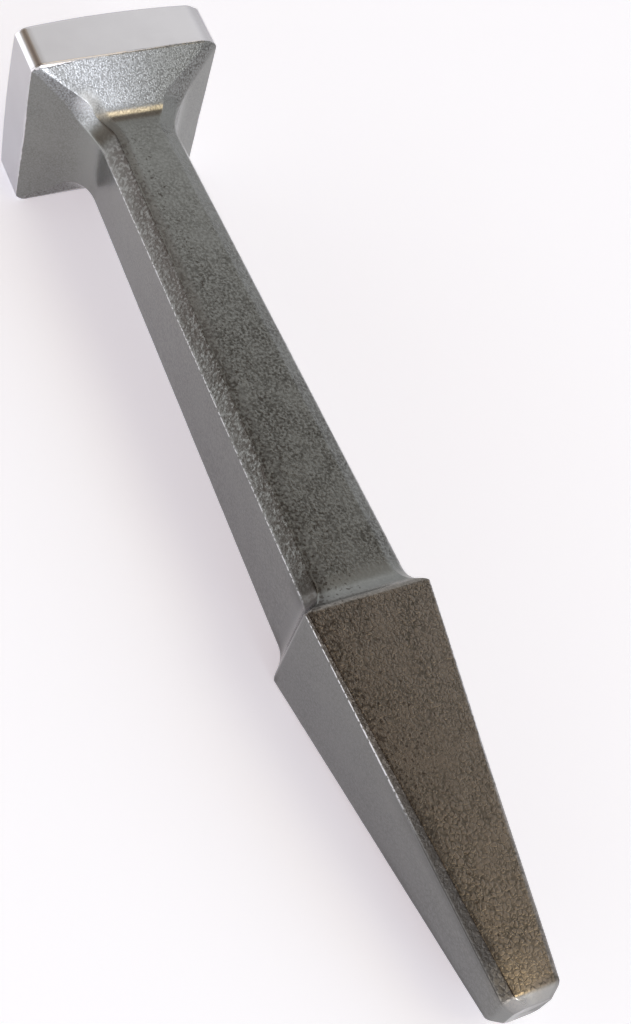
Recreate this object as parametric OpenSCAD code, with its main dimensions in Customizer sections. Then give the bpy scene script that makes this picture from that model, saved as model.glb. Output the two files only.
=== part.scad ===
// Square-headed bench stake: a one-piece forging with a polished block head, a flared neck,
// a chamfered shank, a seating shoulder and a tapered tang.
// It lies on its under side as it would on a bench, head towards -X and tang towards +X.

/* [Head block] */
// Side of the square head, across its ground faces
head_w = 50; // [40:0.5:70]
// Length of the ground side faces, from the working face's corners to the painted neck
block_len = 13; // [8:0.5:24]
// Radius of the slightly domed working face
crown_r = 240; // [150:5:400]
// Radius of the four ground corners
corner_r = 2.8; // [1:0.1:5]

/* [Neck] */
// Length along the tool in which the flare closes from the block to the shank
flare_len = 9; // [6:0.5:14]
// How far outside the block's round corner the bevel on each corner of the flare begins
bevel_start = 0.4; // [0.2:0.1:1]
// Radius where the flare meets the shank's top and under faces
top_fillet_r = 1.9; // [1:0.1:4]
// Radius where the flare meets the shank's side faces
side_fillet_r = 15; // [8:0.5:18]
// Radius where the flare's corner bevels meet the shank's chamfers
bevel_fillet_r = 11; // [6:0.5:16]

/* [Shank] */
// Length of the shank, from the end of the flare to the shoulder
shank_len = 146.5; // [90:0.5:220]
// Width of the shank at the neck, between its side faces
neck_w = 20.6; // [16:0.2:26]
// Depth of the shank at the neck, between its top and under faces
neck_d = 25.6; // [20:0.2:30]
// Width of the shank at the shoulder
shank_w = 26; // [22:0.2:28]
// Depth of the shank at the shoulder
shank_d = 30; // [26:0.2:30.6]
// Leg of the shank's corner chamfers at the neck
neck_chamfer = 3.8; // [2:0.1:5]
// Leg of the shank's corner chamfers at the shoulder
shank_chamfer = 3; // [2:0.1:5]

/* [Shoulder] */
// Radius of the concave fillet between the shank and the shoulder
shoulder_fillet_r = 6; // [4:0.5:10]
// How far along the tang the break on the shoulder's outer edge reaches
shoulder_break = 0.8; // [0.4:0.1:1.5]
// Angle of that break to the tang's faces
break_angle = 22; // [15:1:28]
// Length of the full-section collar behind the shoulder's face
collar_len = 3; // [2:0.5:8]

/* [Tang] */
// Width of the tang at the shoulder, between its side faces
tang_w = 31.2; // [30.6:0.2:38]
// Depth of the tang at the shoulder, between its top and under faces
tang_d = 34.4; // [32.6:0.2:38]
// Width of the tang at its end
tang_end_w = 13.4; // [10:0.2:20]
// Depth of the tang at its end
tang_end_d = 15.2; // [11:0.2:22]
// Length of the tang, from the shoulder to its end
tang_len = 92; // [70:0.5:130]
// Leg of the worn corner bevel along the tang at the shoulder
edge_start = 0.6; // [0.4:0.1:1.5]
// Leg of the worn corner bevel along the tang at its end
edge_end = 2; // [0.8:0.1:2.5]

/* [Tang end] */
// How far in the bevel round the end of the tang reaches
end_bevel = 2.2; // [1:0.1:3]
// How much further in the corner bevels reach where the end is bevelled
corner_bevel = 0.6; // [0.2:0.1:1.2]
// Length of the bevelled end
end_len = 6; // [5:0.5:10]

/* [Hidden] */
$fa = 2;
$fs = 0.4;

// Places along the tool's own axis, from the working face's corners
neck_x = block_len;
shank_x = block_len + flare_len;
shoulder_x = shank_x + shank_len;
end_x = shoulder_x + tang_len;
bevel_x = end_x - end_len;
collar_x = shoulder_x + collar_len;

// Height of the domed working face above its corners
crown_rise = crown_r - sqrt(crown_r * crown_r - head_w * head_w / 2);

// Angle at which a fillet bites into the faces it joins, and the plain length left past a fillet's end
bite = 4;
margin = 0.5;

// Half sizes of the block across its faces and across its round corners
head_h = head_w / 2;
head_c = across(head_h, head_h, corner_r * (2 - sqrt(2)));
steel = [0.78, 0.78, 0.79];
paint = [0.33, 0.34, 0.32];
dark_paint = [0.29, 0.28, 0.26];

// Distance of a pair of 45 degree corner faces from the axis, for half sides a and b and a chamfer leg c
function across(a, b, c) = (a + b - c) * sqrt(1 / 2);

// The same straight taper read at any place x along the tool
function taper(x, x0, y0, x1, y1) = y0 + (y1 - y0) * (x - x0) / (x1 - x0);
function shank_side(x) = taper(x, shank_x, neck_w / 2, shoulder_x, shank_w / 2);
function shank_top(x) = taper(x, shank_x, neck_d / 2, shoulder_x, shank_d / 2);
function shank_corner(x) = taper(
    x,
    shank_x, across(neck_w / 2, neck_d / 2, neck_chamfer),
    shoulder_x, across(shank_w / 2, shank_d / 2, shank_chamfer)
);
function tang_side(x) = taper(x, shoulder_x, tang_w / 2, end_x, tang_end_w / 2);
function tang_top(x) = taper(x, shoulder_x, tang_d / 2, end_x, tang_end_d / 2);
function tang_corner(x) = taper(
    x,
    shoulder_x, across(tang_w / 2, tang_d / 2, edge_start),
    end_x, across(tang_end_w / 2, tang_end_d / 2, edge_end)
);

// Concave fillet of radius r in the corner at c, between the lines from a to c and from c to b.
// It bites a hair into both, at a slight angle, so that its edges are clean.
// A foot is the point on a line that is nearest the fillet's centre.
function up(p, q) = [p[1] - q[1], q[0] - p[0]] / norm(q - p);
function fillet_centre(a, c, b, r) =
    c + (up(a, c) + up(c, b)) * r * cos(bite) / (1 + up(a, c) * up(c, b));
function first_foot(a, c, b, r) = fillet_centre(a, c, b, r) - up(a, c) * r * cos(bite);
function second_foot(a, c, b, r) = fillet_centre(a, c, b, r) - up(c, b) * r * cos(bite);
function fillet_end(line, r) = second_foot(line[0], line[1], line[2], r)[0] + r * sin(bite);

// The flare's three profiles: from the block's edge to the corner where the flare meets the shank,
// then along the shank
side_line = [[neck_x, head_h], [shank_x, shank_side(shank_x)], [shoulder_x, shank_side(shoulder_x)]];
top_line = [[neck_x, head_h], [shank_x, shank_top(shank_x)], [shoulder_x, shank_top(shoulder_x)]];
corner_line = [
    [neck_x, head_c + bevel_start],
    [shank_x, shank_corner(shank_x)],
    [shoulder_x, shank_corner(shoulder_x)]
];

// The neck ends just past the longest of its three fillets
neck_end = margin + max(
    fillet_end(side_line, side_fillet_r),
    fillet_end(top_line, top_fillet_r),
    fillet_end(corner_line, bevel_fillet_r)
);

// Centre of the shoulder's fillet: it bites into the shank's line, from height y0 at the neck to y1
// at the shoulder, and ends on the tang at height y. It is where the line raised by the radius meets
// a circle of that radius round the fillet's end.
function slope(y0, y1) = (y1 - y0) / shank_len;
function drop(y0, y1, y) = y1 + shoulder_fillet_r * cos(bite) * norm([1, slope(y0, y1)]) - y;
function half_b(y0, y1, y) = slope(y0, y1) * drop(y0, y1, y);
function back(y0, y1, y) =
    (half_b(y0, y1, y) + sqrt(
        pow(half_b(y0, y1, y), 2)
        - (1 + pow(slope(y0, y1), 2)) * (pow(drop(y0, y1, y), 2) - pow(shoulder_fillet_r, 2))
    )) / (1 + pow(slope(y0, y1), 2));
function seat(y0, y1, y) = [
    shoulder_x - back(y0, y1, y),
    y + drop(y0, y1, y) - slope(y0, y1) * back(y0, y1, y)
];
side_seat = seat(neck_w / 2, shank_w / 2, tang_w / 2);
top_seat = seat(neck_d / 2, shank_d / 2, tang_d / 2);
corner_seat = seat(shank_corner(shank_x), shank_corner(shoulder_x), tang_corner(shoulder_x));
shoulder_start = min(side_seat[0], top_seat[0], corner_seat[0]) - shoulder_fillet_r * sin(bite) - margin;

// Half sides of the flat that is left on the tang's end, and where the bevel round it begins
end_side = tang_end_w / 2 - end_bevel;
end_top = tang_end_d / 2 - end_bevel;
blunt_x = end_x - end_bevel;

// How the stake lies: on the block's edge and the shoulder's edge, which sets its tilt
rest_x = shoulder_x + shoulder_break;
tilt = atan((head_h - tang_top(rest_x)) / (rest_x - neck_x));
low_end = (crown_r - crown_rise) * cos(tilt) - crown_r;
high_end = end_x * cos(tilt) + end_top * sin(tilt);
rest_z = head_h * cos(tilt) + neck_x * sin(tilt);

// From the tool's own axis to where it lies, with the origin under the middle of its box
module laid_down() {
    translate([-(low_end + high_end) / 2, 0, rest_z])
        rotate([0, tilt, 0])
            children();
}

// A closed outline in x and y from the points of its upper half
module outline(points) {
    polygon(concat(points, [for (i = [len(points) - 1 : -1 : 0]) [points[i][0], -points[i][1]]]));
}

// Outline of a straight taper, y0 high at x0 and y1 high at x1
module straight(x0, y0, x1, y1) {
    outline([[x0, y0], [x1, y1]]);
}

// An outline whose upper and lower edges each have a round bite of radius r at c
module bitten(points, c, r) {
    difference() {
        outline(points);
        translate(c)
            circle(r = r);
        translate([c[0], -c[1]])
            circle(r = r);
    }
}

// One outline, given thickness across the tool and turned about the tool's axis
module across_axis(turn) {
    rotate([turn, 0, 0])
        linear_extrude(height = 2 * head_w, center = true)
            children();
}

// Where a side outline, a top outline and a corner outline cross, as a forging's faces do
module crossed() {
    intersection() {
        across_axis(0)
            children(0);
        across_axis(90)
            children(1);
        across_axis(45)
            children(2);
        across_axis(-45)
            children(2);
    }
}

// Square bar with round corners along the tool's axis
module round_bar(x0, x1) {
    translate([x0, 0, 0])
        rotate([0, 90, 0])
            linear_extrude(height = x1 - x0)
                union() {
                    square([head_w - 2 * corner_r, head_w], center = true);
                    square([head_w, head_w - 2 * corner_r], center = true);
                    for (sy = [-1, 1])
                        for (sz = [-1, 1])
                            translate([sz * (head_h - corner_r), sy * (head_h - corner_r)])
                                circle(r = corner_r);
                }
}

// Profile of one pair of neck faces along the points of line, with its fillet
module flare_profile(line, r) {
    bitten(
        [
            [neck_x - flare_len, line[0][1]],
            line[0],
            first_foot(line[0], line[1], line[2], r),
            fillet_centre(line[0], line[1], line[2], r),
            second_foot(line[0], line[1], line[2], r),
            line[2]
        ],
        fillet_centre(line[0], line[1], line[2], r),
        r
    );
}

// Wedge that breaks the shoulder's edge where the tang is y high, on the upper side
module edge_break(y) {
    polygon([
        [shoulder_x - tang_w / 2, y - (tang_w / 2 + shoulder_break) * tan(break_angle)],
        [shoulder_x + tang_w / 2, y + (tang_w / 2 - shoulder_break) * tan(break_angle)],
        [shoulder_x, y + tang_w]
    ]);
}

// Profile of one pair of shoulder faces: the shank's last stretch, the fillet round c, the edge and
// the collar. The shank is at height y0 at the neck and y1 at the shoulder, the tang at y2, and the
// collar ends at y3.
module shoulder_profile(y0, y1, y2, y3, c) {
    difference() {
        bitten(
            [
                [shank_x, y0],
                [c[0], taper(c[0], shank_x, y0, shoulder_x, y1)],
                c,
                [shoulder_x - margin, taper(shoulder_x - margin, shoulder_x, y2, collar_x, y3)],
                [collar_x + margin, taper(collar_x + margin, shoulder_x, y2, collar_x, y3)]
            ],
            c,
            shoulder_fillet_r
        );
        edge_break(y2);
        mirror([0, 1])
            edge_break(y2);
    }
}

// Ground and polished block, with the domed working face towards -X
module face_block() {
    color(steel)
        laid_down()
            intersection() {
                round_bar(-2 * crown_rise, neck_x);
                translate([crown_r - crown_rise, 0, 0])
                    sphere(r = crown_r, $fn = 720);
            }
}

// Flare from the block down to the shank: wide side faces, steeper top and under faces, bevels between them
module neck() {
    color(paint)
        laid_down()
            intersection() {
                round_bar(neck_x, neck_end);
                crossed() {
                    flare_profile(side_line, side_fillet_r);
                    flare_profile(top_line, top_fillet_r);
                    flare_profile(corner_line, bevel_fillet_r);
                }
            }
}

// Chamfered bar, deeper than wide, that thickens towards the shoulder
module shank() {
    color(paint)
        laid_down()
            crossed() {
                straight(neck_end, shank_side(neck_end), shoulder_start, shank_side(shoulder_start));
                straight(neck_end, shank_top(neck_end), shoulder_start, shank_top(shoulder_start));
                straight(neck_end, shank_corner(neck_end), shoulder_start, shank_corner(shoulder_start));
            }
}

// Filleted step that seats on the bench plate, with the first stretch of the tang as its collar
module shoulder() {
    color(paint)
        laid_down()
            intersection() {
                round_bar(shoulder_start, collar_x);
                crossed() {
                    shoulder_profile(neck_w / 2, shank_w / 2, tang_w / 2, tang_side(collar_x), side_seat);
                    shoulder_profile(neck_d / 2, shank_d / 2, tang_d / 2, tang_top(collar_x), top_seat);
                    shoulder_profile(
                        shank_corner(shank_x),
                        shank_corner(shoulder_x),
                        tang_corner(shoulder_x),
                        tang_corner(collar_x),
                        corner_seat
                    );
                }
            }
}

// Tapered tang, a little deeper than wide, with narrow bevels along its corners
module tang() {
    color(dark_paint)
        laid_down()
            crossed() {
                straight(collar_x, tang_side(collar_x), bevel_x, tang_side(bevel_x));
                straight(collar_x, tang_top(collar_x), bevel_x, tang_top(bevel_x));
                straight(collar_x, tang_corner(collar_x), bevel_x, tang_corner(bevel_x));
            }
}

// Blunt end of the tang, bevelled all round
module tang_end() {
    color(dark_paint)
        laid_down()
            crossed() {
                outline([[bevel_x, tang_side(bevel_x)], [blunt_x, tang_side(blunt_x)], [end_x, end_side]]);
                outline([[bevel_x, tang_top(bevel_x)], [blunt_x, tang_top(blunt_x)], [end_x, end_top]]);
                outline([
                    [bevel_x, tang_corner(bevel_x)],
                    [blunt_x, tang_corner(blunt_x) - corner_bevel],
                    [end_x, across(end_side, end_top, edge_end)]
                ]);
            }
}

face_block();
neck();
shank();
shoulder();
tang();
tang_end();
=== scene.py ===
# %% [markdown]
# # A square-headed bench stake
#
# This stake is one steel forging that a sheet-metal worker wedges in a bench plate. Its head is a
# square block whose side faces are ground and polished. Behind it the metal flares down to a
# chamfered shank, steps out at a shoulder, and ends in a tapered tang, a little deeper than wide.
# All of it but the block is coated with a grey hammertone paint.
#
# The fixed frame comes first: it is the solid model, in metres, with the head towards -X.
# Nothing here moves it. Two finer surfaces will stand in for its zones, in the same place.

# %% The frame and its size
import math
from types import SimpleNamespace
import bpy
import numpy as np
from mathutils import Matrix, Vector


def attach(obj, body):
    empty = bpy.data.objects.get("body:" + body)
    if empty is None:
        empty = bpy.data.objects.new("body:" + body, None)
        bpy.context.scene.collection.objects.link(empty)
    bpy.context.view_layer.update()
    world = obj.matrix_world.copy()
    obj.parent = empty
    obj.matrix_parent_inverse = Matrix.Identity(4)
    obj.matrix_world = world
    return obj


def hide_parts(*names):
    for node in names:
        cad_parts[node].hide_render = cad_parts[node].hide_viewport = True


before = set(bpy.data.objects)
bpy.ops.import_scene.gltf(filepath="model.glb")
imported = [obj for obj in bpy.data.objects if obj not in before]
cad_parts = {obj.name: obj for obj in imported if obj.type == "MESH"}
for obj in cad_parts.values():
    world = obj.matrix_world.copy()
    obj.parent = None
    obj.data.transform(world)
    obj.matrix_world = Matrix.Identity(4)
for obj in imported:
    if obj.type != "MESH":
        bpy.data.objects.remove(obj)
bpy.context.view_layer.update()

# %% [markdown]
# ## The camera
#
# The photograph looks down on the stake from behind the tang, to its left. The place and the turn
# below were worked out from 50 points of the photograph, by least squares: corners of the block,
# edges of the shank and the tang. A small shift frames the stake as the photograph does.

# %% Camera
camera_data = bpy.data.cameras.new("camera")
camera_data.sensor_width = 36
camera_data.lens = 60.7
camera_data.shift_x = 0.0212
camera_data.shift_y = 0.0090
camera_data.clip_start = 0.01
camera = bpy.data.objects.new("camera", camera_data)
camera.location = (0.18796, -0.15157, 0.34796)
camera.rotation_euler = [math.radians(a) for a in (33.6494, -11.2961, 66.2380)]
bpy.context.scene.collection.objects.link(camera)
bpy.context.scene.camera = camera
print("Camera stands at", tuple(round(v, 3) for v in camera.location))

# %% [markdown]
# ## The forging's own measures
#
# A forging like this is drawn along its own axis, so its sizes are written that way: places along
# the axis from the corners of the working face, and half sizes across it, all in millimetres. They
# are the solid model's numbers, with small differences that only the eye needs. The crease where
# the flare's top meets the shank is rounder, so that it holds a band of light. The tang's corner
# bevels end a little smaller, and the block's corners are soft bevels.

# %% Sizes along and across the axis
MM = 0.001
head_half = 25.0
block_end = 13.0
shank_start = 22.0
shoulder_at = 168.5
tang_end_at = 260.5
crown_radius = 240.0
block_corner = 2.8
neck_half_width, neck_half_depth, neck_chamfer = 10.3, 12.8, 3.8
side_fillet, top_fillet, bevel_fillet = 15.0, 4.7, 11.0
shank_half_width, shank_half_depth, shank_chamfer = 13.0, 15.0, 3.0
shoulder_fillet, shoulder_break = 6.0, 0.8
tang_half_width, tang_half_depth, tang_edge_start = 15.6, 17.2, 0.6
end_half_width, end_half_depth, tang_edge_end = 6.7, 7.6, 2.0
tang_edge_less = 0.5
end_bevel = 2.2
crown_rise = crown_radius - math.sqrt(crown_radius**2 - 2 * head_half**2)
print(f"The working face is domed by {crown_rise:.2f} mm from its corners to its middle")

# %% [markdown]
# The stake doesn't lie level. It rests on the block's lower edge and the shoulder's lower edge,
# which tips its axis a little. The tilt and the lift follow from where those two edges are.

# %% How the stake lies
rest_at = shoulder_at + shoulder_break
tang_narrowing = (end_half_depth - tang_half_depth) * shoulder_break / (tang_end_at - shoulder_at)
rest_half = tang_half_depth + tang_narrowing
tilt = math.atan((head_half - rest_half) / (rest_at - block_end))
flat_half_width, flat_half_depth = end_half_width - end_bevel, end_half_depth - end_bevel
low_end = (crown_radius - crown_rise) * math.cos(tilt) - crown_radius
high_end = tang_end_at * math.cos(tilt) + flat_half_depth * math.sin(tilt)
shift_along = -(low_end + high_end) / 2
lift = head_half * math.cos(tilt) + block_end * math.sin(tilt)
laid_down = Matrix.Translation((shift_along * MM, 0, lift * MM)) @ Matrix.Rotation(tilt, 4, "Y")
print(f"The axis is tipped by {math.degrees(tilt):.2f} degrees and lifted by {lift:.2f} mm")

# %% [markdown]
# ## Three profiles
#
# The forging's shape follows a rule. At every place along the axis its section is a rectangle with
# bevelled corners, so three profiles describe all of it: the half width, the half depth, and the
# distance of the corner bevels. It could also be pushed and pulled from a cube by hand, but then
# the bevels wouldn't grow out of the flare as evenly as a forging die makes them.
#
# Each profile is straight lines joined by round fillets. The lines are written as points, and a
# radius at a point rounds it. A last smoothing softens the edges as the paint does, apart from the
# block's edge and the tang's end, which stay sharp.

# %% A line of points with rounded corners
def rounded(points):
    """Points are (along, across, radius). Returns the line with an arc in each corner."""
    line = [np.array(points[0][:2], float)]
    for before, corner, after in zip(points, points[1:], points[2:]):
        start, middle, end = (np.array(point[:2], float) for point in (before, corner, after))
        radius = corner[2]
        if radius == 0:
            line.append(middle)
            continue
        back = (start - middle) / np.linalg.norm(start - middle)
        onward = (end - middle) / np.linalg.norm(end - middle)
        half_angle = math.acos(float(np.clip(back @ onward, -1, 1))) / 2
        reach = radius / math.tan(half_angle)
        halfway = (back + onward) / np.linalg.norm(back + onward)
        centre = middle + halfway * radius / math.sin(half_angle)
        first, last = middle + back * reach - centre, middle + onward * reach - centre
        for share in np.linspace(0, 1, 25):
            spoke = first * (1 - share) + last * share
            line.append(centre + spoke / np.linalg.norm(spoke) * radius)
    line.append(np.array(points[-1][:2], float))
    return np.array(line)


# %% The shoulder's fillet
def seat_points(at, across, bar_across, bar_slope, radius):
    """The shoulder's concave fillet, from its foot on the bar to the shoulder's edge."""
    centre_across = bar_across + radius
    for _ in range(4):  # the centre and its distance from the shoulder settle in a few turns
        back = math.sqrt(radius**2 - (centre_across - across) ** 2)
        centre_across = bar_across - bar_slope * back + radius * math.hypot(1, bar_slope)
    centre = np.array([at - back, centre_across])
    foot_angle = -math.pi / 2 + math.atan(bar_slope)
    edge_angle = math.atan2(across - centre[1], back)
    return [
        (*(centre + radius * np.array([math.cos(a), math.sin(a)])), 0)
        for a in np.linspace(foot_angle, edge_angle, 20)
    ]


# %% A whole profile
profile_start, profile_step = 10.0, 0.05


def softened(fine, across):
    """The profile averaged over some steps, but left sharp at the block's edge and the tang's end."""
    reach = 15  # steps to either side
    padded = np.pad(across, reach, mode="edge")
    soft = np.convolve(padded, np.ones(2 * reach + 1) / (2 * reach + 1), mode="valid")
    sharp_at_end = np.clip((fine - (tang_end_at - 1.5)) / 1.0, 0, 1)
    sharp_at_block = np.clip((block_end + 1.6 - fine) / 0.8, 0, 1)
    sharp = np.maximum(sharp_at_end, sharp_at_block)
    return soft * (1 - sharp) + across * sharp


def profile(flare_from, neck_across, shank_across, tang_across, end_across, tip_across, fillet):
    """One profile of the whole forging: block edge, flare, shank, shoulder, tang and tip."""
    slope = (shank_across - neck_across) / (shoulder_at - shank_start)
    points = [
        (profile_start, flare_from, 0), (block_end, flare_from, 0), (shank_start, neck_across, fillet),
    ]
    points += seat_points(shoulder_at, tang_across, shank_across, slope, shoulder_fillet)
    bevel_at = tang_end_at - end_bevel
    reach = end_across + (tang_across - end_across) * end_bevel / (tang_end_at - shoulder_at)
    points += [(bevel_at, reach - tip_across[0], 0), (tang_end_at, tip_across[1], 0)]
    line = rounded(points)
    fine = np.arange(profile_start, tang_end_at + 0.01, profile_step)
    return fine, softened(fine, np.interp(fine, line[:, 0], line[:, 1]))


# %% The three profiles
def bevel_across(half_a, half_b, leg):
    """Distance of the 45 degree corner faces from the axis."""
    return (half_a + half_b - leg) / math.sqrt(2)


places, half_width = profile(
    head_half, neck_half_width, shank_half_width, tang_half_width, end_half_width,
    (0, flat_half_width), side_fillet,
)
_, half_depth = profile(
    head_half, neck_half_depth, shank_half_depth, tang_half_depth, end_half_depth,
    (0, flat_half_depth), top_fillet,
)
round_corner_leg = block_corner * (2 - math.sqrt(2))
fuller_corner = 0.4
corner_before_tip = 0.6
_, half_corner = profile(
    bevel_across(head_half, head_half, round_corner_leg) + fuller_corner,
    bevel_across(neck_half_width, neck_half_depth, neck_chamfer),
    bevel_across(shank_half_width, shank_half_depth, shank_chamfer),
    bevel_across(tang_half_width, tang_half_depth, tang_edge_start),
    bevel_across(end_half_width, end_half_depth, tang_edge_end - tang_edge_less),
    (corner_before_tip, bevel_across(flat_half_width, flat_half_depth, tang_edge_end)), bevel_fillet,
)
neck_width = 2 * half_width[places < shoulder_at].min()
print(f"Profiles have {len(places)} points; the neck is {neck_width:.1f} mm wide")

# %% [markdown]
# ## Stations and the section
#
# A *station* is one place along the axis with its sizes: half width, half depth and corner
# distance, then how round the corners are beside and above, and how much less bevel the right-hand
# side has. The *section* is a ring of points. Each point's place is a sum of those six sizes with
# fixed weights. With both as small meshes, a Geometry Nodes tree can wrap the section round every
# station.
#
# In the photograph the right-hand bevels lean: they reach further in on the top face than down the
# side. The section allows for that with a slant of its own on the right.

# %% The section's corners
lean_on_right = 1.8
corner_steps = (0, 0.33, 0.67, 1)
points_a_corner = 2 * len(corner_steps)


def corner_weights(lean):
    """Points round one bevelled corner: weights of the six sizes, then ridge, bevel and side."""
    root2 = math.sqrt(2)
    slant = math.atan(lean)
    right = lean > 1
    rounder = (3.0, 1.5) if right else (1.0, 1.0)
    side_fades_by = 1.0 if right else 0.6
    outer = ([1, 0, 0], [-1, 0, root2])
    inner = ([1 - lean, -lean, lean * root2], [0, 1, 0])
    turns = ((outer, 0, slant), (inner, slant, math.pi / 2))
    points = []
    for number, ((y, z), start, end) in enumerate(turns):
        back = 1 + math.cos(end - start)
        centre_y = (math.cos(start) + math.cos(end)) / back
        centre_z = (math.sin(start) + math.sin(end)) / back
        for share in corner_steps:
            angle = start + (end - start) * share
            soft_y = [0.0, 0.0, lean * number * right]
            soft_z = [0.0, 0.0, (1.0 - number) * right]
            soft_y[number] = (math.cos(angle) - centre_y) * rounder[number]
            soft_z[number] = (math.sin(angle) - centre_z) * rounder[number]
            ridge = float(number == 0 and 0 < share < 1)
            on_bevel = 1 - share if number else share
            on_side = 0.0 if number else 1 - side_fades_by * share
            points.append(([*y, *soft_y], [*z, *soft_z], ridge, on_bevel, on_side))
    return points


# %% The section's whole ring
flat_steps = (0.03, 0.1, 0.2, 0.3, 0.4, 0.5, 0.6, 0.7, 0.8, 0.9, 0.97)
bevel_steps = (0.12, 0.3, 0.5, 0.7, 0.88)
bevel_mark_on_flat = {0.03: 0.75, 0.1: 0.3}  # the bevel's finish fades out over the flat's edge


def section_weights():
    """The whole ring, anticlockwise from the right-hand side's upper corner."""
    corners = []
    for turn, (side, rise) in enumerate(((1, 1), (-1, 1), (-1, -1), (1, -1))):
        corner = corner_weights(lean_on_right if side > 0 else 1.0)
        for y, z, *marks in corner if turn % 2 == 0 else corner[::-1]:
            corners.append((np.array(y) * side, np.array(z) * rise, np.array(marks)))
    full = []
    for number, (y, z, marks) in enumerate(corners):
        full.append((y, z, marks))
        next_y, next_z, next_marks = corners[(number + 1) % len(corners)]
        on_flat = number % points_a_corner == points_a_corner - 1
        on_bevel = number % points_a_corner == len(corner_steps) - 1
        for s in flat_steps if on_flat else bevel_steps if on_bevel else ():
            here = marks * (1 - s) + next_marks * s
            if on_flat:
                here[1] = bevel_mark_on_flat.get(round(min(s, 1 - s), 2), 0.0)
            full.append((y * (1 - s) + next_y * s, z * (1 - s) + next_z * s, here))
    return full


ring = section_weights()
print(f"The section has {len(ring)} points round it")

# %% [markdown]
# Stations lie close together where the shape turns and further apart on the straight bar. Both
# ends close: the head end is hidden inside the block, and the tang's end is a small worn flat.

# %% Sizes of a station on the bar
block_leg = 1.8
smallest_leg = 0.35
leg_fades_over = 2.0
block_soft = (0.5, 2.6, 0.0)


def softness_at(x):
    """How round a corner is where it meets the side face, and the top or under face."""
    places_of_change = [block_end, 16, 24, 150, 167, 169, 215, 250, 258]
    beside = np.interp(x, places_of_change, [block_soft[0], 0.8, 0.6, 0.6, 0.8, 0.8, 0.8, 0.6, 0.8])
    above = np.interp(x, places_of_change, [block_soft[1], 0.4, 0.15, 0.15, 0.6, 0.2, 0.1, 0.1, 0.5])
    return float(beside), float(above)


def sizes_at(x):
    """Half width, half depth, corner distance and the three softness values at one place."""
    across = float(np.interp(x, places, half_width))
    deep = float(np.interp(x, places, half_depth))
    corner = float(np.interp(x, places, half_corner))
    past_block = max(0.0, x - block_end)
    least_leg = smallest_leg + (block_leg - smallest_leg) * math.exp(-past_block / leg_fades_over)
    corner = min(corner, (across + deep - least_leg) / math.sqrt(2))
    leg = across + deep - corner * math.sqrt(2)
    beside, above = softness_at(x)
    less_share = float(np.interp(x, [block_end + 1, 30, 165, 180, 255], [0, 0.3, 0.3, 0.5, 0.6]))
    less_on_right = less_share * leg
    leg -= 0.7 * less_on_right
    above = min(above, 1.2 * leg + max(0.0, block_end + 1 - x))
    return across, deep, corner, min(beside, 0.9 * leg), above, less_on_right


# %% Stations of the painted bar
hidden_start = 12.3
tucked_in = 0.01
cap_start = tang_end_at - 0.05
bar_places = np.concatenate([
    [hidden_start, 12.6, 12.85, 12.95, 13.0, 13.05, 13.15, 13.3], np.arange(13.6, 34, 0.4),
    np.arange(34, 158, 1.4), np.arange(158, 167.6, 0.35), np.arange(167.6, 170, 0.12),
    np.arange(170, 173, 0.4), np.arange(173, 254, 1.2), np.arange(254, cap_start, 0.2),
])
bar_stations = [(x, *sizes_at(x), 0.0) for x in bar_places]
hidden_half, hidden_corner = head_half - tucked_in, bar_stations[0][3] - tucked_in
bar_stations[0] = (hidden_start, hidden_half, hidden_half, hidden_corner, *block_soft, 0.0)
closed_end = (0.01, 0.01, 0.0141, 0.0, 0.0, 0.0)
bar_stations.insert(0, (hidden_start, *closed_end, 0.0))
end_sizes = sizes_at(tang_end_at - 0.1)
for along, keep in ((0.0, 0.985), (0.04, 0.95), (0.045, 0.92), (0.045, 0.6), (0.045, 0.002)):
    bar_stations.append((cap_start + along, *(size * keep for size in end_sizes), 0.0))
print(f"The painted bar has {len(bar_stations)} stations")

# %% [markdown]
# The block uses the same section. Its first stations grow across the domed working face, then turn
# over a small ground edge break, then run straight along the ground sides. Their last value says
# how much of the dome a station follows.

# %% Stations of the polished block
edge_break = 0.5
block_back = 12.6


def block_sizes(half, share=1.0):
    """Sizes of a square station, with its corner bevels and their roundness scaled by a share."""
    softness = (soft * share for soft in block_soft)
    return half, half, bevel_across(half, half, block_leg * share), *softness


def dome_share(along):
    """All of the dome at the working face, none of it where the block ends."""
    return 1 - along / block_end


block_stations = []
for share in (0.002, 0.15, 0.3, 0.45, 0.6, 0.72, 0.82, 0.9, 0.96, 0.993):
    half = (head_half - edge_break) * share
    block_stations.append((0.0, *block_sizes(half, share), 1.0))
for angle in np.radians(np.linspace(0, 90, 7)):
    half = head_half - edge_break * (1 - math.sin(angle))
    along = edge_break * (1 - math.cos(angle))
    block_stations.append((along, *block_sizes(half), dome_share(along)))
for along in (0.9, 2, 4, 6, 8, 10, 11.5, 12.4, block_back):
    block_stations.append((along, *block_sizes(head_half), dome_share(along)))
for keep in (0.97, 0.5, 0.002):
    block_stations.append((block_back, *block_sizes(head_half * keep, keep), dome_share(block_back)))
print(f"The block has {len(block_stations)} stations")


# %% Meshes that hold the numbers
def number_mesh(name, points, values):
    """A mesh of loose points, with one attribute for each named list of values."""
    mesh = bpy.data.meshes.new(name)
    mesh.from_pydata([tuple(p) for p in points], [], [])
    for key, rows in values.items():
        rows = np.array(rows, np.float32)
        if rows.ndim == 2:
            mesh.attributes.new(key, "FLOAT_VECTOR", "POINT").data.foreach_set("vector", rows.ravel())
        else:
            mesh.attributes.new(key, "FLOAT", "POINT").data.foreach_set("value", rows)
    obj = bpy.data.objects.new(name, mesh)
    bpy.context.scene.collection.objects.link(obj)
    return obj


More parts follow.
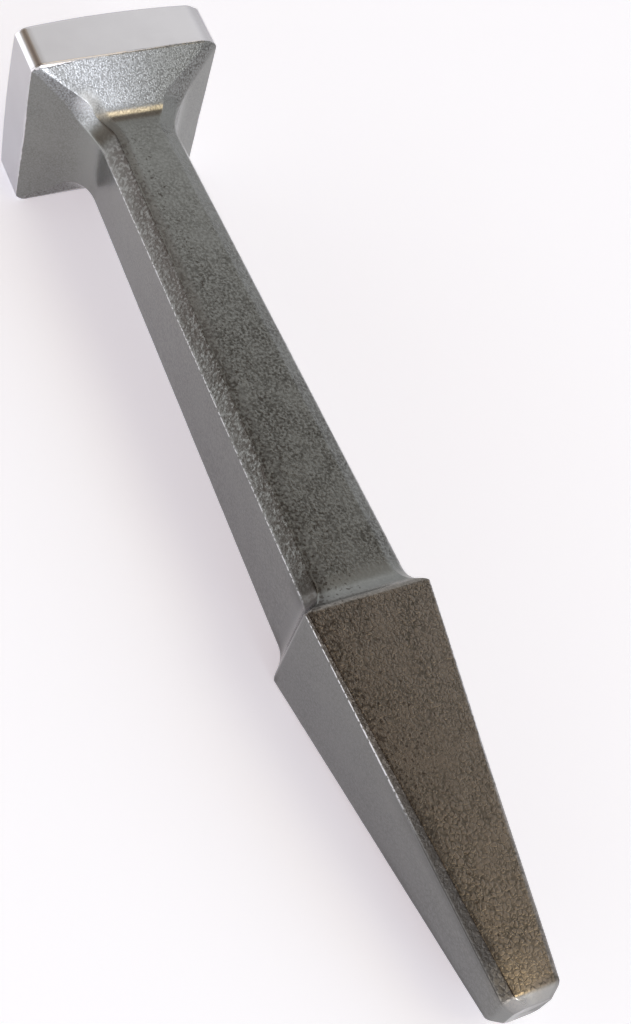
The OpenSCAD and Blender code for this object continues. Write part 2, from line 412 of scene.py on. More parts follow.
def station_mesh(name, stations):
    """One point for each station, at its place along the axis, in metres."""
    table = np.array(stations)
    scaled = table * MM
    return number_mesh(
        name,
        [(x, 0, 0) for x in scaled[:, 0]],
        {"sizes": scaled[:, 1:4], "softness": scaled[:, 4:7], "dome": table[:, 7]},
    )


section = number_mesh(
    "section",
    [(0, k * MM, 0) for k in range(len(ring))],
    {
        "across": [y[:3] for y, _, _ in ring],
        "across_soft": [y[3:] for y, _, _ in ring],
        "upward": [z[:3] for _, z, _ in ring],
        "upward_soft": [z[3:] for _, z, _ in ring],
        "edge": [marks[0] for _, _, marks in ring],
        "bevel": [marks[1] for _, _, marks in ring],
        "side": [marks[2] for _, _, marks in ring],
    },
)
print("The section mesh stores weights and marks for", len(section.data.vertices), "points")

# %% [markdown]
# ## The tree that wraps the section round the stations
#
# The tree starts from a flat grid with one row for each station and one column for each point of
# the section. For every grid point it looks up the row's sizes and the column's weights, adds them
# up, and moves the point there. The seam is merged, and a seeded noise moves the skin in and out by
# some hundredths of a millimetre, as forged and painted steel does. A loop in Python could place
# the points too. The tree keeps the rule in one place, with named inputs for what the block and
# the bar have different.

# %% A small helper for node trees
class Tree:
    """Builds nodes and joins them, so that a tree reads like a recipe."""

    def __init__(self, tree):
        self.tree = tree

    def add(self, kind, inputs=None, **settings):
        """A new node with its settings, and with values or links for its inputs."""
        node = self.tree.nodes.new(kind)
        for key, value in settings.items():
            setattr(node, key, value)
        for key, value in (inputs or {}).items():
            self.put(node.inputs[key], value)
        return node

    def put(self, socket, value):
        """Links a node or a socket to this socket, or sets its value."""
        if isinstance(value, bpy.types.Node):
            value = next(o for o in value.outputs if o.enabled)
        if isinstance(value, bpy.types.NodeSocket):
            self.tree.links.new(value, socket)
        else:
            socket.default_value = value

    def math(self, operation, first, second=None, third=None):
        """The output of a Math node."""
        node = self.add("ShaderNodeMath", operation=operation)
        for socket, value in zip(node.inputs, (first, second, third)):
            if value is not None:
                self.put(socket, value)
        return node.outputs[0]


# %% Looking up a station's sizes and the section's weights
def read(t, source, key, kind, number):
    """A value stored on the points of another mesh, looked up by the point's number."""
    if key == "position":
        field = t.add("GeometryNodeInputPosition")
    else:
        field = t.add("GeometryNodeInputNamedAttribute", {"Name": key}, data_type=kind)
    sample = t.add("GeometryNodeSampleIndex", data_type=kind, domain="POINT")
    t.put(sample.inputs["Geometry"], source)
    t.put(next(s for s in sample.inputs if s.name == "Value" and s.enabled), field)
    t.put(sample.inputs["Index"], number)
    return next(o for o in sample.outputs if o.enabled)


def weighted(t, section_points, key, column, sizes, softness):
    """The sum of a station's six sizes, each times the section point's weight for it."""
    sums = []
    for name, values in ((key, sizes), (key + "_soft", softness)):
        weights = read(t, section_points, name, "FLOAT_VECTOR", column)
        dot = t.add("ShaderNodeVectorMath", {0: weights, 1: values}, operation="DOT_PRODUCT")
        sums.append(dot.outputs["Value"])
    return t.math("ADD", *sums)


# %% The dome and the ripple
def dome_height(t, y, z, radius, edge):
    """How far a dome of this radius stands out here, above its edge's level."""
    from_axis_squared = t.math("ADD", t.math("MULTIPLY", y, y), t.math("MULTIPLY", z, z))
    radius_squared = t.math("MULTIPLY", radius, radius)
    edge_squared = t.math("MULTIPLY", edge, edge)
    return t.math(
        "SUBTRACT",
        t.math("SQRT", t.math("SUBTRACT", radius_squared, from_axis_squared)),
        t.math("SQRT", t.math("SUBTRACT", radius_squared, edge_squared)),
    )


def rippled(t, mesh, seed, height, size):
    """The mesh with its skin moved in and out along its normals by a seeded noise."""
    waves = t.add("ShaderNodeTexNoise", {
        "Vector": t.add("GeometryNodeInputPosition"), "W": seed,
        "Scale": t.math("DIVIDE", 1.0, size), "Detail": 2.0,
    }, noise_dimensions="4D")
    lift_by = t.math("MULTIPLY", t.math("SUBTRACT", waves.outputs[0], 0.5), height)
    push = t.add("ShaderNodeVectorMath", {
        0: t.add("GeometryNodeInputNormal"), "Scale": lift_by,
    }, operation="SCALE")
    return t.add("GeometryNodeSetPosition", {"Geometry": mesh, "Offset": push})


# %% The wrapping tree
seam_gap = 0.004


def tree_with_inputs():
    """An empty tree with its named inputs and its output."""
    tree = bpy.data.node_groups.new("bar_from_stations", "GeometryNodeTree")
    for kind, names in (
        ("NodeSocketGeometry", ("Geometry",)),
        ("NodeSocketObject", ("Section",)),
        ("NodeSocketInt", ("Stations", "Points around", "Seed")),
        ("NodeSocketFloat", ("Dome radius", "Dome edge", "Ripple height", "Ripple size")),
        ("NodeSocketMaterial", ("Finish",)),
    ):
        for name in names:
            tree.interface.new_socket(name, in_out="INPUT", socket_type=kind)
    tree.interface.new_socket("Geometry", in_out="OUTPUT", socket_type="NodeSocketGeometry")
    return tree


def bar_tree():
    """Wraps the section round the stations, closes and ripples the skin, and gives it a finish."""
    tree = tree_with_inputs()
    t = Tree(tree)
    given = t.add("NodeGroupInput").outputs
    columns = t.math("ADD", given["Points around"], 1.0)
    grid = t.add("GeometryNodeMeshGrid", {
        "Size X": 1.0, "Size Y": 1.0, "Vertices X": given["Stations"], "Vertices Y": columns,
    })
    index = t.add("GeometryNodeInputIndex")
    row = t.math("FLOOR", t.math("DIVIDE", t.math("ADD", index, 0.5), columns))
    column = t.math("MODULO", index, columns)
    column = t.math("MODULO", column, given["Points around"])

    stations = given["Geometry"]
    section_points = t.add("GeometryNodeObjectInfo", {"Object": given["Section"]}).outputs["Geometry"]
    sizes = read(t, stations, "sizes", "FLOAT_VECTOR", row)
    softness = read(t, stations, "softness", "FLOAT_VECTOR", row)
    dome = read(t, stations, "dome", "FLOAT", row)
    centre = read(t, stations, "position", "FLOAT_VECTOR", row)
    along = t.add("ShaderNodeSeparateXYZ", {0: centre}).outputs[0]
    y = weighted(t, section_points, "across", column, sizes, softness)
    z = weighted(t, section_points, "upward", column, sizes, softness)
    height = dome_height(t, y, z, given["Dome radius"], given["Dome edge"])
    x = t.math("SUBTRACT", along, t.math("MULTIPLY", dome, height))
    place = t.add("ShaderNodeCombineXYZ", {0: x, 1: y, 2: z})

    wrapped = t.add("GeometryNodeSetPosition", {"Geometry": grid.outputs["Mesh"], "Position": place})
    for key in ("edge", "bevel", "side"):
        wrapped = t.add("GeometryNodeStoreNamedAttribute", {
            "Geometry": wrapped, "Name": key, "Value": read(t, section_points, key, "FLOAT", column),
        }, data_type="FLOAT", domain="POINT")
    closed = t.add("GeometryNodeMergeByDistance", {"Geometry": wrapped, "Distance": seam_gap * MM})
    skin = rippled(t, closed, given["Seed"], given["Ripple height"], given["Ripple size"])
    smooth = t.add("GeometryNodeSetShadeSmooth", {"Geometry": skin})
    real = t.add("GeometryNodeRealizeInstances", {"Geometry": smooth})
    finish = t.add("GeometryNodeSetMaterial", {"Geometry": real, "Material": given["Finish"]})
    result = t.add("NodeGroupOutput")
    t.put(result.inputs["Geometry"], finish)
    return tree


wrap_tree = bar_tree()
print(f"The tree has {len(wrap_tree.nodes)} nodes")


# %% Run the tree and keep a plain mesh
def wrap(name, stations, finish, seed, ripple_height, ripple_size):
    """A closed piece from stations, along the forging's own axis, with its modifier taken off."""
    source = station_mesh(name + "_stations", stations)
    modifier = source.modifiers.new("wrap", "NODES")
    modifier.node_group = wrap_tree
    values = {
        "Section": section, "Stations": len(stations), "Points around": len(ring), "Seed": seed,
        "Dome radius": crown_radius * MM, "Dome edge": head_half * math.sqrt(2) * MM,
        "Ripple height": ripple_height * MM, "Ripple size": ripple_size * MM, "Finish": finish,
    }
    for item in wrap_tree.interface.items_tree:
        if item.in_out == "INPUT" and item.name in values:
            modifier[item.identifier] = values[item.name]
    depsgraph = bpy.context.evaluated_depsgraph_get()
    seen = source.evaluated_get(depsgraph)
    mesh = bpy.data.meshes.new_from_object(
        seen, preserve_all_data_layers=True, depsgraph=depsgraph
    )
    mesh.name = name
    piece = bpy.data.objects.new(name, mesh)
    bpy.context.scene.collection.objects.link(piece)
    bpy.data.objects.remove(source)
    return piece


# %% [markdown]
# ## The finishes
#
# Hammertone paint is a lacquer with fine metal leaf in it, so it mirrors the room dimly, as metal
# does. While it dries it draws together into small lumps with darker grooves between them. An image
# of such paint could be laid on, but it would show seams at the corners. Noise and Voronoi textures
# on Object coordinates have no seams, and stay sharp from close by.
#
# The first helpers mix colours and numbers, and make masks: numbers from 0 to 1 that say where a
# layer shows.

# %% Helpers that mix
def new_material(name):
    """A material with one Principled shader, and a helper for its tree."""
    material = bpy.data.materials.new(name)
    material.use_nodes = True
    material.node_tree.nodes.clear()
    t = Tree(material.node_tree)
    shader = t.add("ShaderNodeBsdfPrincipled")
    output = t.add("ShaderNodeOutputMaterial")
    t.put(output.inputs["Surface"], shader.outputs[0])
    return material, t, shader


def mix_colour(t, factor, first, second):
    """The first colour where the factor is 0, the second where it is 1."""
    node = t.add("ShaderNodeMix", data_type="RGBA")
    t.put(node.inputs[0], factor)
    t.put(node.inputs[6], first)
    t.put(node.inputs[7], second)
    return node.outputs[2]


def mix_value(t, factor, first, second):
    """The first number where the factor is 0, the second where it is 1."""
    return t.add("ShaderNodeMix", {0: factor, 2: first, 3: second}).outputs[0]


def laid_over(t, colour, layers):
    """Layers mixed over a colour in turn. A layer is its mask, its share and its own colour."""
    for mask, share, layer_colour in layers:
        colour = mix_colour(t, t.math("MULTIPLY", mask, share), colour, (*layer_colour, 1))
    return colour


# %% Helpers that make masks
def smooth_step(t, value, low, high):
    """0 below low, 1 above high, and a smooth rise between."""
    node = t.add("ShaderNodeMapRange", {
        "Value": value, "From Min": low, "From Max": high,
    }, interpolation_type="SMOOTHSTEP")
    return node.outputs["Result"]


def opposite(t, mask):
    """1 where the mask is 0, and 0 where it is 1."""
    return t.math("SUBTRACT", 1.0, mask)


def product(t, *factors):
    """All the factors multiplied."""
    result = factors[0]
    for factor in factors[1:]:
        result = t.math("MULTIPLY", result, factor)
    return result


def past(t, along, start, full):
    """0 before one place along the stake and 1 past another, in millimetres."""
    return smooth_step(t, along, start * MM, full * MM)


def between(t, along, rise_from, rise_to, fall_from, fall_to):
    """1 between two places along the stake, in millimetres, with a soft start and end."""
    rise = past(t, along, rise_from, rise_to)
    fall = past(t, along, fall_from, fall_to)
    return t.math("MULTIPLY", rise, opposite(t, fall))


def near(t, place, centre, full, none):
    """1 closer to the centre than full, 0 further than none, in millimetres."""
    gap = t.add("ShaderNodeVectorMath", {
        0: place, 1: tuple(v * MM for v in centre),
    }, operation="DISTANCE").outputs["Value"]
    return opposite(t, smooth_step(t, gap, full * MM, none * MM))


def noise(t, place, scale, detail=2.0):
    """Soft random patches, so many to a metre."""
    return t.add("ShaderNodeTexNoise", {"Vector": place, "Scale": scale, "Detail": detail}).outputs[0]


# %% [markdown]
# ### Where a point of the bar lies
#
# The lacquer isn't the same everywhere. It shines like silver on the flare, partly by a painted
# sheen, turns warmer and coarser on the tang, and is plainer on the side faces. So the bar's points
# carry three marks from the section: `edge` on the ridges beside the side faces, `bevel` on the
# corner bevels, and `side` on the side faces. Together with Object coordinates they tell each layer
# where it belongs.

# %% The bar's regions
def bar_regions(t):
    """Coordinates in metres, the section's marks, and masks for the parts of the bar."""
    at = SimpleNamespace()
    at.place = t.add("ShaderNodeTexCoord").outputs["Object"]
    at.along, at.across, at.upward = t.add("ShaderNodeSeparateXYZ", {0: at.place}).outputs
    at.ridge = t.add("ShaderNodeAttribute", attribute_name="edge").outputs["Fac"]
    at.bevel = t.add("ShaderNodeAttribute", attribute_name="bevel").outputs["Fac"]
    at.side = t.add("ShaderNodeAttribute", attribute_name="side").outputs["Fac"]
    at.front = opposite(t, at.side)
    at.right = smooth_step(t, at.across, -0.001, 0.001)
    at.left = opposite(t, at.right)
    at.flare = opposite(t, past(t, at.along, -107, -103.5))
    at.tang = past(t, at.along, 38, 42)
    at.towards_tip = past(t, at.along, 50, 110)
    at.end_bevel = past(t, at.along, 128.8, 130)
    return at


# %% [markdown]
# ### Grain, lumps and grooves
#
# Two patterns are mixed. A fine grain shows most on the shank, and is finer still on the flare. On
# the tang, lumps with grooves between them show more, and they grow towards the tip. The lumps are
# the cells of a Voronoi texture. A noise pushes its coordinates about, so that no edge is straight.

# %% The lacquer's pattern
def lump_grooves(t, place, lumps_per_metre):
    """1 in the grooves between the lumps, 0 on the lumps."""
    from_groove = t.add("ShaderNodeTexVoronoi", {
        "Vector": place, "Scale": lumps_per_metre,
    }, feature="DISTANCE_TO_EDGE").outputs["Distance"]
    return opposite(t, smooth_step(t, from_groove, -0.02, 0.2))


def lacquer_pattern(t, at):
    """0 on lumps and light grains, 1 in grooves and dark grains."""
    wobble = t.add("ShaderNodeTexNoise", {"Vector": at.place, "Scale": 1100.0, "Detail": 2.0})
    drift = t.add("ShaderNodeVectorMath", {
        0: wobble.outputs["Color"], 1: (0.5, 0.5, 0.5),
    }, operation="SUBTRACT")
    push = 1.4 * MM
    warped = t.add("ShaderNodeVectorMath", {
        0: drift, 1: (push, push, push), 2: at.place,
    }, operation="MULTIPLY_ADD")
    grooves = mix_value(
        t, at.towards_tip, lump_grooves(t, warped, 980.0), lump_grooves(t, warped, 800.0)
    )
    grain = mix_value(t, at.flare, noise(t, at.place, 1450.0, 2.5), noise(t, at.place, 2300.0, 2.5))
    grain = smooth_step(t, grain, 0.35, 0.65)
    groove_share = t.math("MULTIPLY_ADD", at.tang, 0.35, 0.3)
    return mix_value(t, groove_share, grain, grooves)


def pattern_strength(t, at):
    """How clear the pattern is: less near the neck, on the sides, at the shoulder and the end."""
    blotches = smooth_step(t, noise(t, at.place, 130.0, 4.0), 0.3, 0.6)
    strength = t.math("MULTIPLY_ADD", past(t, at.along, -100, -30), 0.6, 0.4)
    strength = t.math("MULTIPLY_ADD", at.flare, 0.55, strength)
    return product(
        t, strength,
        t.math("MULTIPLY_ADD", blotches, 0.4, 0.6),
        t.math("MULTIPLY_ADD", at.side, -0.62, 1.0),
        t.math("MULTIPLY_ADD", between(t, at.along, -108, -106.5, -103, -101), -0.45, 1.0),
        t.math("MULTIPLY_ADD", between(t, at.along, 31, 35, 39, 42), -0.8, 1.0),
        t.math("MULTIPLY_ADD", at.end_bevel, -0.85, 1.0),
    )


# %% [markdown]
# ### Colours of the lacquer
#
# The grey comes first, with painted shade on the side faces and towards the tang, then what lies
# over it. The flare is silver, most of all on its left: the leaf's own colour under a painted sheen,
# with a painted highlight by the left bevel. Dark brown speckles gather along the left bevels, and
# painted shade darkens the shoulder's corner. Painted glints sit near the tip. On the ridges the
# paint wears thin in patches, and painted highlights make them glint; the right ridge has a painted
# highlight, and the left ridge near the tip painted shade.

# %% The lacquer's grey
def lacquer_grey(t, at, dark):
    """Grey on the shank, warmer on the tang, darker in the grooves; painted shade away from the head and
    on the sides.
    """
    grey = mix_colour(
        t, t.math("MULTIPLY", at.tang, at.front), (0.26, 0.265, 0.255, 1), (0.295, 0.264, 0.236, 1)
    )
    grey = mix_colour(t, dark, grey, (0.06, 0.057, 0.05, 1))
    # Painted shade: the colour darkens away from the head, most of all on the side faces.
    side_and_tang_shade = t.math("MULTIPLY_ADD", past(t, at.along, -90, 0), 0.24, 0.05)
    side_and_tang_shade = product(t, side_and_tang_shade, t.math("MULTIPLY_ADD", at.side, 0.75, 0.25))
    return laid_over(t, grey, [
        (side_and_tang_shade, 1.0, (0.03, 0.028, 0.03)),
        (product(t, at.end_bevel, at.front), 0.6, (0.4, 0.41, 0.42)),
    ])


# %% Silver leaf and painted sheen on the flare
def flare_leaf_and_sheen(t, at, colour, pattern):
    """The flare's metal leaf under a painted sheen, and a painted highlight where the left bevel would
    catch the lamp.
    """
    leftness = smooth_step(t, at.across, 0.014, -0.014)
    # Partly the leaf's own colour, partly a painted sheen where the lamp would reflect, strongest on the
    # left.
    leaf_and_painted_sheen = product(
        t, at.flare, at.front,
        t.math("MULTIPLY_ADD", leftness, 0.8, 0.12),
        smooth_step(t, at.upward, 0.026, 0.034),
        t.math("MULTIPLY_ADD", pattern, -0.65, 1.0),
        t.math("MULTIPLY_ADD", at.bevel, -0.45, 1.0),
    )
    # Painted highlight: a light spot on the flare beside the left bevel.
    painted_highlight_spot = product(t, near(t, at.place, (-109.6, -12.0, 40.4), 0.5, 4.5), at.front)
    return laid_over(t, colour, [
        (leaf_and_painted_sheen, 1.0, (0.5, 0.52, 0.56)),
        (painted_highlight_spot, 0.6, (0.85, 0.87, 0.9)),
    ])


# %% Speckles, painted glints and painted shade
def speckled(t, at, colour, pattern):
    """Dark speckles on the left bevels, painted glints at the tip, and painted shade in the shoulder's
    corner.
    """
    speckle = t.math("MULTIPLY_ADD", at.bevel, 0.16, noise(t, at.place, 1200.0, 2.0))
    speckle = smooth_step(t, speckle, 0.58, 0.68)
    spots = product(t, speckle, at.left, at.front, between(t, at.along, -104, -94, 127, 129))
    brown = product(t, at.bevel, at.left, at.front, between(t, at.along, -106, -98, -50, -20))
    dark_near_tip = product(t, at.bevel, at.left, between(t, at.along, 70, 95, 127, 129.5))
    # Painted highlight: golden glints on the lumps near the tip.
    glints = product(t, near(t, at.place, (126.3, -2.5, 20.7), 0.0, 8.0), opposite(t, pattern))
    # Painted shade: the left bevel darkens in the shoulder's corner.
    shoulder_corner_shade = product(t, between(t, at.along, 25, 34, 40, 41), at.bevel, at.left)
    return laid_over(t, colour, [
        (spots, 0.75, (0.05, 0.04, 0.033)),
        (brown, 0.4, (0.08, 0.066, 0.06)),
        (dark_near_tip, 0.7, (0.07, 0.068, 0.066)),
        (glints, 0.4, (0.62, 0.54, 0.42)),
        (shoulder_corner_shade, 0.8, (0.045, 0.04, 0.035)),
    ])


# %% Ridges: wear, painted highlights and painted shade
def ridge_wear_and_light(t, at, colour):
    """Bare steel and painted glints on the ridges, a painted highlight on the right, painted shade near
    the tip.
    """
    patches = noise(t, at.place, 1300.0, 2.0)
    # Part wear, part painted highlight: the ridges are lightened in patches where they would glint.
    bar_ridge_wear_and_glints = product(t, between(t, at.along, -98, -88, 32, 38), smooth_step(t, patches, 0.42, 0.52))
    tang_ridge_wear_and_glints = product(t, between(t, at.along, 40.5, 42, 74, 98), smooth_step(t, patches, 0.4, 0.52))
    rubbed_and_highlit = product(t, at.ridge, t.math("MULTIPLY_ADD", bar_ridge_wear_and_glints, 0.7, tang_ridge_wear_and_glints))
    # Painted highlight along the right ridge.
    right_ridge_highlight = product(t, at.ridge, at.right, between(t, at.along, -98, -90, 0, 30))
    # Painted shade: the left ridge is darkened near the tip.
    left_ridge_stretch = product(t, at.ridge, at.left, between(t, at.along, 80, 100, 127, 129))
    return laid_over(t, colour, [
        (rubbed_and_highlit, 1.0, (0.7, 0.7, 0.72)),
        (right_ridge_highlight, 0.8, (0.8, 0.8, 0.81)),
        (left_ridge_stretch, 0.85, (0.05, 0.048, 0.045)),
    ])


# %% [markdown]
# ### The whole lacquer layer
#
# The pattern darkens the colour, and the same pattern raises the lumps in a bump, so light and
# colour agree. The bump is only some hundredths of a millimetre high. Along the shank's left inner
# ridge and at the tang's end the lacquer is duller, so that the ridge doesn't mirror the ceiling
# as a hard line.

# %% Colour, roughness and height of the lacquer
def paint_layer(t):
    """Colour, roughness and height in millimetres of the hammertone lacquer."""
    at = bar_regions(t)
    pattern = lacquer_pattern(t, at)
    strength = pattern_strength(t, at)
    dark = t.math("MULTIPLY", pattern, strength)
    colour = lacquer_grey(t, at, dark)
    colour = flare_leaf_and_sheen(t, at, colour, pattern)
    colour = speckled(t, at, colour, pattern)
    colour = ridge_wear_and_light(t, at, colour)

    inner_ridge = product(t, t.math("MULTIPLY", at.bevel, 4.0), opposite(t, at.bevel))
    left_ridge_stretch = product(t, inner_ridge, at.left, at.front, between(t, at.along, -112, -108, 30, 36))
    # Painted light: the left inner ridge near the head is lightened against the dark ceiling it mirrors.
    upper_ridge_light = product(t, left_ridge_stretch, between(t, at.along, -112, -108, -50, -10))
    colour = laid_over(t, colour, [(upper_ridge_light, 0.16, (0.6, 0.6, 0.58))])
    dull_end = product(t, past(t, at.along, 127.5, 128.7), smooth_step(t, at.across, -0.003, 0.001))
    roughness = t.math("MULTIPLY_ADD", dark, 0.12, 0.22)
    roughness = t.math("MULTIPLY_ADD", left_ridge_stretch, 0.35, roughness)
    roughness = t.math("MULTIPLY_ADD", dull_end, 0.35, roughness)

    flatter = t.math("MULTIPLY_ADD", at.ridge, -0.3, 1.0)
    lump_height = t.math("MULTIPLY_ADD", at.towards_tip, -0.008, 0.03)
    height = product(t, opposite(t, pattern), strength, flatter, lump_height)
    return colour, roughness, height


# %% [markdown]
# ### Polished steel
#
# The block is ground first, so fine lines run round its faces under the polish. A noise that is
# squeezed along the stake draws them. Faint patches keep the steel's colour from being even.

# %% Colour, roughness and height of the steel
def steel_layer(t):
    """Colour, roughness and height in millimetres of the ground and polished steel."""
    place = t.add("ShaderNodeTexCoord").outputs["Object"]
    stretch = t.add("ShaderNodeMapping", {"Vector": place})
    stretch.inputs["Scale"].default_value = (4000.0, 120.0, 120.0)
    lines = noise(t, stretch, 1.0, 3.0)
    patches = noise(t, place, 90.0, 4.0)
    colour = mix_colour(
        t, smooth_step(t, patches, 0.3, 0.7), (0.66, 0.645, 0.665, 1), (0.69, 0.675, 0.695, 1)
    )
    roughness = t.math("MULTIPLY_ADD", lines, 0.06, 0.16)
    return colour, roughness, t.math("MULTIPLY", lines, 0.0006)


# %% [markdown]
# ### Both on one surface
#
# The paint's edge wanders: in places it runs a little onto the block, in others it stops short and
# leaves the flare's rim bare. So both materials hold both layers, and a stored number says how far
# each point lies past the paint's edge. A noise makes that edge ragged, and the bump gives the
# paint its thickness there.

# %% Steel with paint over it
paint_thickness = 0.08


def coated_steel(name, coat, rim_tint):
    """Steel with paint over it wherever a point lies past the paint's edge."""
    material, t, shader = new_material(name)
    place = t.add("ShaderNodeTexCoord").outputs["Object"]
    past_edge = t.add("ShaderNodeAttribute", attribute_name="past_edge").outputs["Fac"]
    raggedness = noise(t, place, 900.0, 3.0)
    ragged = t.math("MULTIPLY_ADD", raggedness, 0.5, t.math("SUBTRACT", past_edge, 0.25))
    covered = smooth_step(t, ragged, -0.08, 0.08)
    paint_colour, paint_roughness, paint_height = paint_layer(t)
    steel_colour, steel_roughness, steel_height = steel_layer(t)
    t.put(shader.inputs["Base Color"], mix_colour(t, covered, steel_colour, paint_colour))
    t.put(shader.inputs["Roughness"], mix_value(t, covered, steel_roughness, paint_roughness))
    height = mix_value(t, covered, steel_height, t.math("ADD", paint_height, paint_thickness))
    t.put(shader.inputs["Normal"], t.add("ShaderNodeBump", {"Height": height, "Distance": MM}))
    shader.inputs["Metallic"].default_value = 1.0
    shader.inputs["Coat Weight"].default_value = coat
    shader.inputs["Coat Roughness"].default_value = 0.1
    shader.inputs["Specular Tint"].default_value = (rim_tint, rim_tint, rim_tint, 1)
    return material


paint = coated_steel("hammertone_lacquer", coat=0.2, rim_tint=0.9)
steel = coated_steel("polished_steel", coat=0.0, rim_tint=0.72)
print("Finishes:", paint.name, "and", steel.name)

# %% [markdown]
# ## The two pieces
#
# The polished block and the painted bar are wrapped by the same tree. The bar's skin ripples more
# than the ground block's. Each is laid down, takes the place of its solid zones, and rides on the
# stake's one body.

# %% Where the paint ends
# How many sides have been passed on the way round the block, from its top face's left corner, and
# where the paint's edge is there, in millimetres along the axis
paint_edge = [
    (0.0, 13.3), (0.1, 13.5), (0.2, 13.1), (0.45, 12.8), (0.6, 12.7), (0.8, 12.5), (1.0, 12.5),
    (1.2, 12.8), (1.5, 13.2), (1.8, 13.0), (2.0, 12.8), (2.25, 13.0), (2.5, 13.2), (2.75, 12.9),
    (3.0, 12.8), (3.25, 13.0), (3.5, 13.1), (3.75, 13.0), (4.0, 13.0),
]


def past_paint_edge(mesh):
    """Stores how far each point lies past the paint's wavy edge, in millimetres."""
    x, y, z = (np.array([v.co for v in mesh.vertices]) / MM).T
    reach = np.maximum(np.maximum(np.abs(y), np.abs(z)), 0.001)
    sides_passed = np.select(
        [z >= np.abs(y), y > np.abs(z), z <= -np.abs(y)],
        [(1 + y / reach) / 2, 1 + (1 - z / reach) / 2, 2 + (1 - y / reach) / 2],
        3 + (1 + z / reach) / 2,
    )
    sides, edge_places = np.array(paint_edge).T
    past_edge = x - np.interp(sides_passed, sides, edge_places)
    stored = mesh.attributes.new("past_edge", "FLOAT", "POINT")
    stored.data.foreach_set("value", past_edge.astype(np.float32))


# %% Make and place the pieces
block = wrap("polished_block", block_stations, steel, seed=3, ripple_height=0.01, ripple_size=9)
bar = wrap("painted_bar", bar_stations, paint, seed=7, ripple_height=0.12, ripple_size=7)
for piece in (block, bar):
    past_paint_edge(piece.data)
    piece.data.transform(laid_down)
    piece.data.update()
    corners = np.array([v.co for v in piece.data.vertices])
    print(piece.name, len(piece.data.polygons), "faces,", corners.min(0).round(4), corners.max(0).round(4))
bpy.data.objects.remove(section)

# %% Join the pieces to the frame
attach(block, "root")
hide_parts("face_block")
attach(bar, "root")
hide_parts("neck", "shank", "shoulder", "tang", "tang_end")
print("Both pieces ride on the one body")

# %% [markdown]
# ## The floor
#
# The stake lies on white paper, a large pale sheet. The camera and the mirroring faces see it as
# white by a little light of its own, while the light that bounces off it stays natural. So the
# paper is white without brighter lamps, and keeps the stake's soft shadow.

# %% Floor
def sheet(name, corners, material):
    """One flat face with a material."""
    mesh = bpy.data.meshes.new(name)
    mesh.from_pydata(corners, [], [(0, 1, 2, 3)])
    mesh.materials.append(material)
    obj = bpy.data.objects.new(name, mesh)
    bpy.context.scene.collection.objects.link(obj)
    return obj


def white_paper():
    """Paper whose colour and own light are different for the rays that show it."""
    material, t, shader = new_material("white_paper")
    path = t.add("ShaderNodeLightPath").outputs
    seen = t.math("MAXIMUM", path["Is Camera Ray"], path["Is Glossy Ray"])
    seen = t.math("MAXIMUM", seen, path["Is Transmission Ray"])
    lighting_colour, seen_colour = (0.93, 0.925, 0.935, 1), (0.785, 0.9, 0.98, 1)
    t.put(shader.inputs["Base Color"], mix_colour(t, seen, lighting_colour, seen_colour))
    shader.inputs["Roughness"].default_value = 1.0
    shader.inputs["Specular IOR Level"].default_value = 0.0
    shader.inputs["Emission Color"].default_value = (1.02, 0.88, 0.92, 1)
    t.put(shader.inputs["Emission Strength"], t.math("MULTIPLY", seen, 0.455))
    return material


floor = sheet("floor", [(-3, -3, 0), (3, -3, 0), (3, 3, 0), (-3, 3, 0)], white_paper())
print("The floor is", tuple(round(v, 1) for v in floor.dimensions), "m")

# %% [markdown]
# ## The light
#
# One soft lamp stands low beyond the tang. It faces the flare, which is why the flare is the
# brightest painted part. The rest of the light is a room.
#
# Polished steel and glossy lacquer show the room more than a colour of their own, so the room
# matters as much as the lamp. It has pale walls, a ceiling that turns warm and dark overhead, a
# low bright window on the stake's left, and a small warm lamp that draws the golden line in the
# crease. An image of a room could do this, but a ramp and two soft spots are easier to adjust. The
# camera itself sees plain white behind the paper.

# %% The key lamp
def soft_lamp(name, place, aim, size, power):
    """A square area lamp turned towards its aim."""
    data = bpy.data.lights.new(name, "AREA")
    data.size = size
    data.energy = power
    lamp = bpy.data.objects.new(name, data)
    lamp.location = place
    lamp.rotation_euler = (Vector(aim) - Vector(place)).to_track_quat("-Z", "Y").to_euler()
    bpy.context.scene.collection.objects.link(lamp)
    return lamp


beyond_tang = Vector((0.93, 0.1, 0.36)) * 1.2
key = soft_lamp("key", beyond_tang, aim=(-0.1, 0, 0.03), size=0.42, power=2.5)
print("The key lamp gives", key.data.energy, "W from", tuple(round(v, 2) for v in key.location))


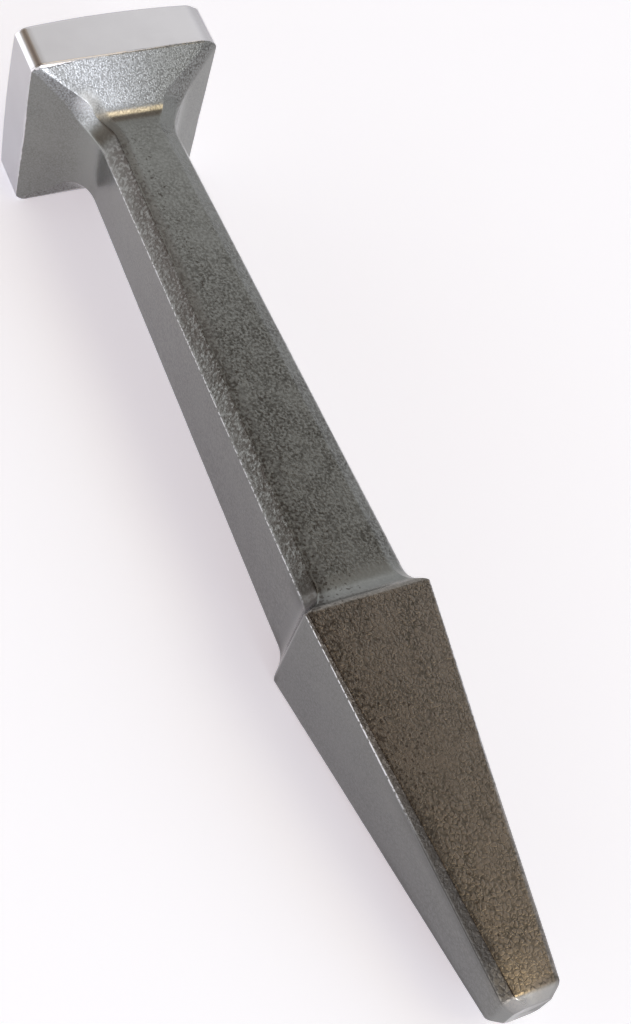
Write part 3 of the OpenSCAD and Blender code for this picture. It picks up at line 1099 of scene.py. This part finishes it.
# %% The room
def ramp(t, factor, stops):
    """A colour that changes with the factor. A stop is its place and its colour."""
    node = t.add("ShaderNodeValToRGB", {"Fac": factor})
    elements = node.color_ramp.elements
    while len(elements) < len(stops):
        elements.new(0.5)
    for element, (place, colour) in zip(elements, stops):
        element.position = place
        element.color = (*colour, 1)
    return node.outputs["Color"]


def facing(t, direction, vector):
    """1 where a direction points along the vector, less the further it turns away."""
    turned = t.add("ShaderNodeVectorMath", {0: direction, 1: vector}, operation="DOT_PRODUCT")
    return turned.outputs["Value"]


def studio_room():
    """Pale walls under a darker, warmer ceiling, a low bright window and a warm ceiling lamp."""
    world = bpy.data.worlds.new("studio_room")
    world.use_nodes = True
    t = Tree(world.node_tree)
    direction = t.add("ShaderNodeTexCoord").outputs["Generated"]
    room = ramp(t, facing(t, direction, (0, -0.342, 0.94)), [
        (0.0, (0.75, 0.75, 0.76)), (0.4, (0.85, 0.85, 0.86)), (0.56, (1.0, 1.0, 1.0)),
        (0.62, (0.7, 0.7, 0.69)), (0.67, (0.5, 0.48, 0.44)), (0.73, (0.42, 0.33, 0.25)),
        (0.79, (0.21, 0.165, 0.13)), (0.83, (0.06, 0.04, 0.034)), (1.0, (0.06, 0.04, 0.034)),
    ])
    low = opposite(t, smooth_step(t, facing(t, direction, (0, 0, 1)), 0.31, 0.37))
    window = t.math("MULTIPLY", low, smooth_step(t, facing(t, direction, (0, -1, 0)), 0.2, 0.5))
    room = mix_colour(t, window, room, (1.9, 1.9, 1.95, 1))
    lamp = smooth_step(t, facing(t, direction, (0.42, 0.38, 0.824)), 0.957, 0.99)
    room = mix_colour(t, lamp, room, (2.9, 2.35, 1.55, 1))
    seen = t.add("ShaderNodeLightPath").outputs["Is Camera Ray"]
    shown = mix_colour(t, seen, room, (1, 1, 1, 1))
    t.put(world.node_tree.nodes["Background"].inputs["Color"], shown)
    return world


bpy.context.scene.world = studio_room()
bpy.context.scene.view_settings.view_transform = "Standard"
print("World:", bpy.context.scene.world.name)
